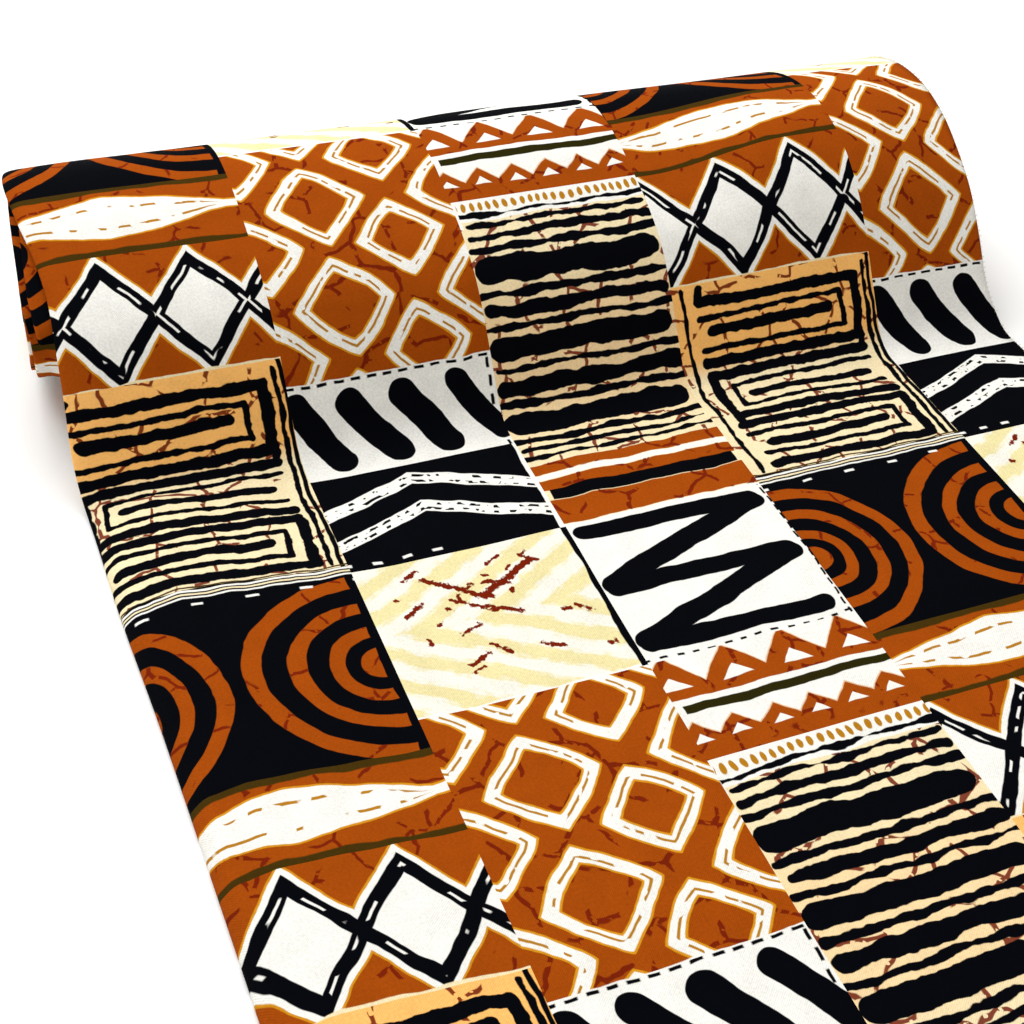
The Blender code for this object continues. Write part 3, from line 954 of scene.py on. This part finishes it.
PATCHES = [
    HalfRings(COLUMN_A, 64.0, 142.0, 133.0),
    *(Meander(COLUMN_A, 197.0, 142.0, 150.0, (low, low + 50.0)) for low in (0.0, 50.0, 100.0)),
    LozengeChain(COLUMN_A, 347.0, 142.0, 77.0),
    LeafBand(COLUMN_A, 424.0, 142.0, 51.0),
    BrushedChevrons(COLUMN_B, 82.0, 125.0, 109.0),
    ChevronBands(COLUMN_B, 191.0, 125.0, 77.0),
    SlantedBars(COLUMN_B, 268.0, 125.0, 61.0),
    OutlinedSquares(COLUMN_B, 329.0, 125.0, 164.0),
    BoldZigzag(COLUMN_C, 82.0, 123.0, 109.0),
    BrushStripes(COLUMN_C, 191.0, 123.0, 235.0),
    ToothedBands(COLUMN_C, 426.0, 123.0, 67.0),
]


@dataclass(frozen=True)
class PlainCotton:
    """Plain-woven cotton away from the print: the wrong side, or a loose thread."""

    name: str
    colour: int
    # The real thread of about 0.36 mm is too fine to show, so the grain is drawn this coarse, in millimetres
    thread: float = 1.3
    darker: float = 0.72

    # Spun cotton scatters light from its fine hairs, so it looks dry and a little soft at its edges
    FACE = CottonFace(rough=0.9, gloss=0.1, bump=0.3, depth=0.0003, fuzz=0.1)

    def material(self) -> Material:
        """The finished material, that reads Object coordinates."""
        made = new_material(self.name)
        tree = made.node_tree
        place = add_node(tree, "ShaderNodeTexCoord").outputs["Object"]
        inputs = {"Vector": place, "Scale": 1.0 / (self.thread * MM), "Detail": 2.0}
        grain = add_node(tree, "ShaderNodeTexNoise", inputs).outputs["Fac"]
        light = linear(self.colour)
        dark = tuple(channel * self.darker for channel in light[:3]) + (1.0,)
        shade = add_node(tree, "ShaderNodeMix", {0: grain, 6: light, 7: dark}, data_type="RGBA")
        self.FACE.dress(tree, shade.outputs[2], grain)
        return made


@dataclass(frozen=True)
class Finishes:
    """The cloth's materials: one for each patch of the print, its unprinted side and its loose threads."""

    patches: list
    wrong_side: Material
    thread: Material


class Route:
    """Where the outer turn runs, and how far the print has come along it."""

    def point(self, position: float, x: float) -> tuple:
        """Outer face of the outer turn at a fractional row of COURSE and a place along X, as y and z."""
        row = CourseRow(*spline(COURSE, position))
        if position >= TURN_IS_FLAT:
            return row.y, STACK
        height = row.left + (row.right - row.left) * between_rows(ROUNDER, x)
        return row.y, max(height, STACK if position > TURN_FACES_FRONT else 0.0)

    def outward(self, position: float, x: float, near: float = 0.02) -> tuple:
        """Unit vector, y and z, that points out of that face, from two points near by."""
        y0, z0 = self.point(max(position - near, 0.0), x)
        y1, z1 = self.point(min(position + near, len(COURSE) - 1.0), x)
        length = math.hypot(y1 - y0, z1 - z0)
        return (z1 - z0) / length, (y0 - y1) / length

    def along(self, x: float, step: float = 0.05) -> tuple:
        """Fractional rows and the print's v at each, from the underside to the cut end.

        Args:
            x: the place along X.
            step: the distance between the rows that are read.

        Returns:
            Two arrays, the rows and their v.
        """
        rows = np.arange(0.0, len(COURSE) - 1.0 + step / 2.0, step)
        points = np.array([self.point(row, x) for row in rows])
        run = np.concatenate([[0.0], np.cumsum(np.linalg.norm(np.diff(points, axis=0), axis=1))])
        flat = int(round(TURN_IS_FLAT / step))
        return rows, (points[flat, 0] + V_OF_Y) + run[flat] - run


@dataclass
class Cloth:
    """A stretch of the doubled cloth: rows of points, each from one selvage round the fold to the other."""

    name: str
    points: list
    places: list

    def build(self, finishes: Finishes) -> Object:
        """Makes the sheet's mesh, with its print's places and one material for each patch.

        Args:
            finishes: the cloth's materials.

        Returns:
            The sheet as an object.
        """
        rows, columns = len(self.points), len(self.points[0])
        points = np.array(self.points).reshape(-1, 3) * MM
        places = np.array(self.places).reshape(-1, 2)
        index = np.arange(rows * columns).reshape(rows, columns)
        corners = [index[:-1, :-1], index[:-1, 1:], index[1:, 1:], index[1:, :-1]]
        quads = np.stack(corners, axis=-1).reshape(-1, 4)
        mesh = bpy.data.meshes.new(self.name)
        mesh.from_pydata(points.tolist(), [], quads.tolist())
        layer = mesh.uv_layers.new(name="cloth")
        layer.data.foreach_set("uv", (places[quads.reshape(-1)] * MM).astype(np.float32).reshape(-1))
        centres = places[quads].mean(axis=1)
        slots = [next(i for i, patch in enumerate(PATCHES) if patch.holds(u, v)) for u, v in centres]
        for material in finishes.patches + [finishes.wrong_side]:
            mesh.materials.append(material)
        mesh.polygons.foreach_set("material_index", slots)
        mesh.shade_smooth()
        sheet = put(self.name, mesh)
        thick = sheet.modifiers.new("cloth", "SOLIDIFY")
        thick.thickness = CLOTH * MM
        thick.offset = -1.0
        thick.material_offset = len(finishes.patches)
        thick.use_even_offset = False
        return sheet


def snapped(start: float, end: float, step: float, marks: list, room: float = 0.5) -> list:
    """Places from start to end at about a step, that take in every mark between them.

    Args:
        start: the first place.
        end: the last place, above start.
        step: the wanted distance.
        marks: places that must be there.
        room: how near to start or end a mark is left out.

    Returns:
        The places, rising.
    """
    stops = sorted({start, end, *(mark for mark in marks if start + room < mark < end - room)})
    places = []
    for low, high in zip(stops, stops[1:]):
        count = max(1, round((high - low) / step))
        places += [low + (high - low) * i / count for i in range(count)]
    return places + [end]


@dataclass
class ThreadEnds:
    """Ends of single threads that stand out of an edge of the cloth, set along it by Geometry Nodes."""

    name: str
    outward: tuple
    seed: int
    # Real ends stand about 0.36 mm apart; they are drawn thicker and further apart, so that they show
    spacing: float = 2.6
    length: float = 1.9
    thickness: float = 0.42
    root: float = 0.7
    lift: float = 0.6
    stray: float = 0.45

    INPUTS = {
        "Edge": "Geometry", "Spacing": "Float", "Length": "Float", "Thickness": "Float", "Stray": "Float",
        "Outward": "Vector", "Seed": "Int", "Thread": "Material",
    }
    # How far an end bends over as a share of its length, and how its direction and its size vary
    BEND = 0.2
    LEAST_WAY, MOST_WAY = (-1.0, -1.0, -0.2), (1.0, 1.0, 1.0)
    LEAST_SIZE, MOST_SIZE = 0.45, 1.1

    def one_end(self, tree: NodeTree, given: bpy.types.bpy_prop_collection) -> NodeSocket:
        """One thread end that stands on its root and bends over a little.

        Args:
            tree: the node tree.
            given: the tree's inputs.

        Returns:
            The thread end as a geometry socket.
        """
        bend = (Field(tree, given["Length"]) * self.BEND).socket
        middle = add_node(tree, "ShaderNodeCombineXYZ", {2: bend}).outputs[0]
        tip = add_node(tree, "ShaderNodeCombineXYZ", {0: bend, 2: given["Length"]}).outputs[0]
        curve = {"Resolution": 3, "Start": (0.0, 0.0, -self.root * MM), "Middle": middle, "End": tip}
        line = add_node(tree, "GeometryNodeCurveQuadraticBezier", curve).outputs[0]
        circle = {"Resolution": 4, "Radius": (Field(tree, given["Thickness"]) * 0.5).socket}
        ring = add_node(tree, "GeometryNodeCurvePrimitiveCircle", circle, mode="RADIUS").outputs[0]
        body = {"Curve": line, "Profile Curve": ring, "Fill Caps": True}
        return add_node(tree, "GeometryNodeCurveToMesh", body).outputs[0]

    def tree(self) -> NodeTree:
        """Thread ends along a line at even distances, each leaned, turned and sized at random.

        Returns:
            The node tree, with its named inputs.
        """
        tree = bpy.data.node_groups.new(self.name, "GeometryNodeTree")
        for label, kind in self.INPUTS.items():
            tree.interface.new_socket(label, in_out="INPUT", socket_type=f"NodeSocket{kind}")
        tree.interface.new_socket("Threads", in_out="OUTPUT", socket_type="NodeSocketGeometry")
        given = add_node(tree, "NodeGroupInput").outputs
        seed = given["Seed"]
        line = add_node(tree, "GeometryNodeMeshToCurve", {"Mesh": given["Edge"]}).outputs[0]
        spacing = {"Curve": line, "Length": given["Spacing"]}
        spaced = add_node(tree, "GeometryNodeResampleCurve", spacing, mode="LENGTH").outputs[0]
        ways = {0: self.LEAST_WAY, 1: self.MOST_WAY, "Seed": seed}
        anyhow = add_node(tree, "FunctionNodeRandomValue", ways, data_type="FLOAT_VECTOR").outputs[0]
        share = {0: anyhow, 3: given["Stray"]}
        astray = add_node(tree, "ShaderNodeVectorMath", share, operation="SCALE").outputs[0]
        both = {0: given["Outward"], 1: astray}
        way = add_node(tree, "ShaderNodeVectorMath", both, operation="ADD").outputs[0]
        aimed = add_node(tree, "FunctionNodeAlignRotationToVector", {"Vector": way}, axis="Z").outputs[0]
        about = add_node(tree, "FunctionNodeRandomValue", {2: -math.pi, 3: math.pi, "Seed": seed}).outputs[1]
        spin = add_node(tree, "ShaderNodeCombineXYZ", {2: about}).outputs[0]
        turns = {"Rotation": aimed, "Rotate By": spin}
        turned = add_node(tree, "FunctionNodeRotateRotation", turns, rotation_space="LOCAL").outputs[0]
        sizes = {2: self.LEAST_SIZE, 3: self.MOST_SIZE, "Seed": seed}
        size = add_node(tree, "FunctionNodeRandomValue", sizes).outputs[1]
        end = self.one_end(tree, given)
        placing = {"Points": spaced, "Instance": end, "Rotation": turned, "Scale": size}
        ends = add_node(tree, "GeometryNodeInstanceOnPoints", placing).outputs[0]
        real = add_node(tree, "GeometryNodeRealizeInstances", {"Geometry": ends}).outputs[0]
        dressed = add_node(tree, "GeometryNodeSetMaterial", {"Geometry": real, "Material": given["Thread"]})
        add_node(tree, "NodeGroupOutput", {0: dressed.outputs[0]})
        return tree

    def build(self, lines: list, thread: Material) -> Object:
        """Grows the ends along the edge's lines and hands them to the frame.

        Args:
            lines: for each line of the edge, its points in millimetres.
            thread: the thread's material.

        Returns:
            The thread ends as one object.
        """
        points, links = [], []
        for line in lines:
            first = len(points)
            points += [(x * MM, y * MM, max(z, self.lift) * MM) for x, y, z in line]
            links += [(first + i, first + i + 1) for i in range(len(line) - 1)]
        mesh = bpy.data.meshes.new(f"{self.name}_line")
        mesh.from_pydata(points, links, [])
        edge = put(f"{self.name}_line", mesh)
        grower = edge.modifiers.new("threads", "NODES")
        grower.node_group = self.tree()
        sizes = {
            "Spacing": self.spacing * MM, "Length": self.length * MM, "Thickness": self.thickness * MM,
            "Stray": self.stray, "Outward": self.outward, "Seed": self.seed, "Thread": thread,
        }
        for socket in grower.node_group.interface.items_tree:
            if socket.name in sizes:
                grower[socket.identifier] = sizes[socket.name]
        grown = bpy.data.meshes.new_from_object(edge.evaluated_get(bpy.context.evaluated_depsgraph_get()))
        bpy.data.objects.remove(edge)
        threads = put(self.name, grown)
        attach(threads, BODY)
        LOG.info("%s: %d triangles", self.name, sum(len(p.vertices) - 2 for p in grown.polygons))
        return threads


@dataclass
class DrawnLength:
    """The outer turn: round under the roll, over its top and front, and flat to the cut end."""

    # Distances between rows and columns, on the lower layer too, and the columns' places round the fold
    step: float = 6.2
    lower_step: float = 24.0
    near_fold: tuple = (0.0, 0.35, 0.9, 1.8, 3.0, 4.6, 6.6, 9.5, 13.0, 17.0)
    relief: float = 0.9

    # The print's u where the plain columns of the upper and of the lower layer start and end
    UPPER, LOWER = (304.0, 866.0), (-300.0, COLUMN_A)
    # The soft ripples: their share on the roll, the rows and the distance from the fold over which they
    # grow, and the plain lift under them
    ON_ROLL, GROW_ROWS, FADE, PLAIN = 0.35, 4.0, 40.0, 0.6
    Ripple = namedtuple("Ripple", "seed span share")
    RIPPLES = (Ripple(3.1, 95.0, 1.0), Ripple(7.7, 38.0, 0.5))

    def columns(self) -> tuple:
        """The print's u of the columns beyond the fold, on the upper and on the lower layer."""
        marks = [mark + REPEAT_U * k for k in range(-2, 3) for mark in (COLUMN_A, COLUMN_B, COLUMN_C)]
        return snapped(*self.UPPER, self.step, marks), snapped(*self.LOWER, self.lower_step, marks)[::-1]

    def raised(self, row: CourseRow, flat: float, x: float, v: float) -> float:
        """How far the upper layer stands up at a place.

        Args:
            row: the outer turn's course there.
            flat: 1 where the cloth has left the roll.
            x: the place along X.
            v: the print's place along the cloth.

        Returns:
            The height over the flat stack, in millimetres.
        """
        distance = x - row.fold
        soft = self.relief * (self.ON_ROLL + (1.0 - self.ON_ROLL) * flat) * smoothstep(distance / self.FADE)
        ripples = sum(ripple.share * unevenness(ripple.seed, x, v, ripple.span) for ripple in self.RIPPLES)
        return row.loft * between_rows(LOFT_FADE, distance) + soft * (self.PLAIN + ripples)

    def section(self, route: Route, position: float, v: float) -> tuple:
        """One row of the sheet.

        Args:
            route: the outer turn's route.
            position: the fractional row of COURSE.
            v: the print's place along the cloth.

        Returns:
            The row's points, and the print's place at each.
        """
        row = CourseRow(*spline(COURSE, position))
        fold_u = row.fold + U_OF_X
        edge_u = row.edge + U_OF_X
        upper, lower = self.columns()
        middle = -0.5 * STACK
        points, places = [], []
        flat = smoothstep((position - TURN_LEAVES_ROLL) / self.GROW_ROWS)
        for u in [edge_u] + upper[::-1] + [fold_u + d for d in self.near_fold[::-1]]:
            x = u - U_OF_X
            opened = (0.5 * STACK + self.raised(row, flat, x, v)) * nose(x - row.fold, FOLD_NOSE)
            points.append(self.off(route, position, x, middle + opened))
            places.append((u, v))
        for distance in list(self.near_fold[1:]) + [fold_u - u for u in lower] + [edge_u - fold_u]:
            opened = 0.5 * STACK * nose(distance, FOLD_NOSE)
            points.append(self.off(route, position, row.fold + distance, middle - opened))
            places.append((fold_u - distance, v))
        return points, places

    def off(self, route: Route, position: float, x: float, height: float) -> tuple:
        """Point at a height above the outer turn's face."""
        y, z = route.point(position, x)
        out_y, out_z = route.outward(position, x)
        return x, y + out_y * height, max(z + out_z * height, 0.0)

    def build(self, route: Route, finishes: Finishes) -> float:
        """Makes the sheet and its thread ends and hands them to the frame.

        Args:
            route: the outer turn's route.
            finishes: the cloth's materials.

        Returns:
            The print's v where the outer turn begins.
        """
        rows, run = route.along(0.0)
        marks = sorted({patch.start() + REPEAT_V * k for patch in PATCHES for k in range(-2, 4)})
        lengths = snapped(float(run[-1]), float(run[0]), self.step, marks)
        points, places = [], []
        for v in lengths[::-1]:
            row_points, row_places = self.section(route, float(np.interp(-v, -run, rows)), v)
            points.append(row_points)
            places.append(row_places)
        sheet = Cloth("drawn_length", points, places).build(finishes)
        selvages = [[row[side] for row in points] for side in (0, -1)]
        edge = ThreadEnds("selvage_threads", (1.0, 0.0, 0.0), 8, spacing=3.4, length=1.5)
        ends = [
            ThreadEnds("cut_edge_threads", (0.0, -1.0, 0.0), 5).build([points[-1]], finishes.thread),
            edge.build(selvages, finishes.thread),
        ]
        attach(sheet, BODY)
        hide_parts(NODE)
        return float(run[0])


@dataclass
class WoundTurns:
    """The turns wound under the outer one, each a doubled layer with its fold at the left."""

    turns: int = 36
    pitch: float = 1.32
    radius: float = 53.0
    middle: tuple = (290.0, 72.0)
    # Cloth taken up in creases between the outer turn and the next
    slack: float = 75.0
    covered_points: int = 22
    # The columns' distances from the fold; one more column is at the selvage
    distances: tuple = (
        0.0, 0.12, 0.4, 0.9, 1.7, 3.0, 5.0, 8.0, 13.0, 22.0, 50.0, 150.0, 290.0, 390.0, 440.0, 490.0, 560.0,
    )

    # The air between the outer turn and these, and the points of the bare outline to each of its rows
    AIR, FINER = 0.6, 3
    # Where the turns lie loose, from their left folds inwards, and how thick each is there and elsewhere
    LOOSE_FROM, LOOSE_OVER = -272.0, 26.0
    THICK_FIRST, THICK_LESS, THICK_TIGHT, LEAST_NOSE = 4.2, 3.3, 0.75, 0.6
    # How far in the first turn lies, tight and loose; how far the next loose ones step back; the loose hole
    TIGHT_FIRST, LOOSE_FIRST, LOOSE_STEP, LOOSE_HOLE = 0.5, 2.0, 5.8, 11.0
    # The least share of the radius that a turn keeps, and the least height over the floor
    LEAST_KEEP, LEAST_Z = 0.015, 0.05
    # The loose end's back leans along X: by this share of the way past a Y, from an X over a distance
    SLANT, SLANT_Y, SLANT_FROM, SLANT_OVER = 0.1, 215.0, -200.0, 85.0
    # Rows in a turn, up to a number of turns: fewer further in, where the turns are smaller
    ROWS = ((3.0, 38.0), (18.0, 24.0), (math.inf, 16.0))
    # Where along X the folds and the selvages lie, how far they step out, in or stray, and over how many
    # millimetres; the outline's points lie this far apart
    FOLD_X, FOLD_OUT, FOLD_IN, FOLD_STRAY, FOLD_SPAN = -302.0, 4.6, 3.6, 0.7, 60.0
    EDGE_X, EDGE_IN, EDGE_STRAY, EDGE_SPAN = 303.0, 0.9, 1.3, 70.0
    POINT_APART = 9.0
    # The column that the cloth's length is measured on
    MEASURED = 8

    def outline(self, route: Route, x: float) -> np.ndarray:
        """Closed outline of the wound body at a place along X.

        Args:
            route: the outer turn's route.
            x: the place along X.

        Returns:
            Points (y, z), from the low back over the top to the front and back under.
        """
        depth = STACK + self.AIR
        covered = []
        for position in np.linspace(DRAWN_START, TURN_LEAVES_ROLL, self.covered_points):
            y, z = route.point(position, x)
            out_y, out_z = route.outward(position, x)
            covered.append((y - out_y * depth, z - out_z * depth))
        rows = [covered[-1]] + [(row.y, row.left) for row in UNDERSIDE] + [covered[0]]
        steps = range(1, (len(rows) - 1) * self.FINER)
        bare = [spline(rows, step / self.FINER) for step in steps]
        return np.array(covered + [(y, max(z, 0.0)) for y, z in bare])

    def loose(self, x: float) -> float:
        """1 at the left folds, where the turns lie loose, and 0 further in."""
        return smoothstep((self.LOOSE_FROM - x) / self.LOOSE_OVER)

    def inset(self, turn: float, x: float) -> float:
        """How far a turn is drawn in towards the roll's middle.

        Args:
            turn: how many turns lie outside it.
            x: the place along X.

        Returns:
            The inset on a radius of the body's.
        """
        tight = self.TIGHT_FIRST + self.pitch * turn
        loose = self.LOOSE_FIRST + self.LOOSE_STEP * smoothstep(turn - 0.15)
        loose += (self.radius - self.LOOSE_HOLE) * turn / self.turns
        return tight + (loose - tight) * self.loose(x)

    def section(self, sides: tuple, travelled: float) -> tuple:
        """One row of the sheet.

        Args:
            sides: the body's outline in its left and in its right part.
            travelled: how far the winding has come, in points of the outline.

        Returns:
            The row's points, and the print's u at each.
        """
        count = len(sides[0])
        turn = travelled / count
        inward = turn / self.turns
        place = (self.covered_points - 1 - travelled) % count
        first, share = int(place), place - int(place)
        left, right = (side[first] * (1.0 - share) + side[(first + 1) % count] * share for side in sides)
        way = travelled * self.POINT_APART
        fold = self.FOLD_X - self.FOLD_OUT * smoothstep(turn * 1.6 - 0.9) + self.FOLD_IN * inward
        fold += self.FOLD_STRAY * unevenness(11.0, way, 0.0, self.FOLD_SPAN)
        edge = self.EDGE_X - self.EDGE_IN * inward
        edge += self.EDGE_STRAY * unevenness(15.0, way, 0.0, self.EDGE_SPAN)
        thick = self.THICK_FIRST - self.THICK_LESS * smoothstep(turn - 0.1)
        centre = np.array(self.middle)
        distances = [*self.distances, edge - fold]
        points, places = [], []
        for side, columns in ((-1.0, distances[::-1]), (1.0, distances[1:])):
            for distance in columns:
                x = fold + distance
                loose = self.loose(x)
                puff = thick * loose + self.THICK_TIGHT * (1.0 - loose)
                opening = nose(distance, max(0.5 * puff, self.LEAST_NOSE))
                inset = self.inset(turn, x) + 0.5 * puff * (1.0 + side * opening)
                keep = max(1.0 - inset / self.radius, self.LEAST_KEEP)
                y, z = centre + (left + (right - left) * between_rows(ROUNDER, x) - centre) * keep
                slant = self.SLANT * smoothstep((self.SLANT_FROM - x) / self.SLANT_OVER)
                points.append((x + slant * max(y - self.SLANT_Y, 0.0), y, max(z, self.LEAST_Z)))
                places.append(fold + U_OF_X - side * distance)
        return points, places

    def build(self, route: Route, start_v: float, finishes: Finishes) -> None:
        """Makes the turns as one sheet and hands it to the frame.

        Args:
            route: the outer turn's route.
            start_v: the print's v where the outer turn begins.
            finishes: the cloth's materials.
        """
        sides = self.outline(route, -200.0), self.outline(route, 200.0)
        count = len(sides[0])
        points, places = [], []
        travelled, long = 0.0, 0.0
        while travelled < self.turns * count:
            row_points, row_places = self.section(sides, travelled)
            if points:
                long += math.dist(row_points[self.MEASURED][1:], points[-1][self.MEASURED][1:])
            points.append(row_points)
            places.append([(u, start_v + self.slack + long) for u in row_places])
            travelled += count / next(rows for below, rows in self.ROWS if travelled < below * count)
        sheet = Cloth("wound_turns", points[::-1], places[::-1]).build(finishes)
        long *= MM
        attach(sheet, BODY)
        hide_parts(NODE)
        LOG.info("wound_turns: %.3f m long, %d rows", long, len(points))


@dataclass
class Studio:
    """The pale floor, the soft light and the camera."""

    # The camera's place and its axes, in millimetres in the solid's frame
    camera: tuple = (-360.2, -566.8, 614.0)
    look: tuple = (0.3143, 0.6758, -0.6668)
    right: tuple = (0.9274, -0.3685, 0.0637)
    lens: float = 57.2

    # Sizes in metres and strengths in watts
    Lamp = namedtuple("Lamp", "name place size power")
    LAMPS = (Lamp("key", (-0.4, 1.4, 2.0), 2.0, 64.0), Lamp("fill", (-1.4, -1.9, 1.2), 2.0, 5.0))
    FLOOR_HALF, FLOOR_LOW = 6.0, -0.0006

    def build(self) -> None:
        """Sets up all three."""
        self.add_camera()
        self.add_floor()
        self.add_lights()

    def add_camera(self) -> None:
        """The photo's view, on a 36 mm sensor."""
        data = bpy.data.cameras.new("photo_view")
        data.lens = self.lens
        data.sensor_width = 36.0
        data.clip_start = 0.05
        view = put("photo_view", data)
        look, right = Vector(self.look).normalized(), Vector(self.right).normalized()
        up = right.cross(look).normalized()
        right = look.cross(up).normalized()
        turn = Matrix((right, up, -look)).transposed().to_4x4()
        view.matrix_world = Matrix.Translation(Vector(self.camera) * MM) @ turn
        bpy.context.scene.camera = view

    def add_floor(self) -> None:
        """A plain pale floor."""
        mesh = bpy.data.meshes.new("floor")
        half, low = self.FLOOR_HALF, self.FLOOR_LOW
        corners = [(-half, -half, low), (half, -half, low), (half, half, low), (-half, half, low)]
        mesh.from_pydata(corners, [], [(0, 1, 2, 3)])
        floor = put("floor", mesh)
        paper = bpy.data.materials.new("pale_floor")
        paper.use_nodes = True
        shader = paper.node_tree.nodes["Principled BSDF"]
        shader.inputs["Base Color"].default_value = linear(0xFCFCFB)
        shader.inputs["Roughness"].default_value = 0.9
        mesh.materials.append(paper)

    def add_lights(self) -> None:
        """A broad key from above, a fill from the front and a pale room."""
        for lamp in self.LAMPS:
            data = bpy.data.lights.new(lamp.name, "AREA")
            data.shape = "SQUARE"
            data.size = lamp.size
            data.energy = lamp.power
            light = put(lamp.name, data)
            light.location = lamp.place
            light.rotation_euler = (-Vector(lamp.place)).to_track_quat("-Z", "Y").to_euler()
        world = bpy.data.worlds.new("room")
        world.use_nodes = True
        background = world.node_tree.nodes["Background"]
        background.inputs["Color"].default_value = linear(0xFFFDFA)
        background.inputs["Strength"].default_value = 0.5
        bpy.context.scene.world = world
        bpy.context.scene.view_settings.view_transform = "Standard"


def main() -> None:
    """Builds the cloth and the studio, and logs the thread ends' triangles and the wound turns' length and
    rows.
    """
    logging.basicConfig(level=logging.INFO, format="%(name)s: %(message)s")
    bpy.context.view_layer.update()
    Studio().build()
    finishes = Finishes(
        [patch.material() for patch in PATCHES],
        PlainCotton("plain_cotton_wrong_side", 0xC99A62).material(),
        PlainCotton("spun_cotton_thread", 0xDCCDAA, thread=0.5).material(),
    )
    route = Route()
    start_v = DrawnLength().build(route, finishes)
    WoundTurns().build(route, start_v, finishes)


if __name__ == "__main__":
    main()
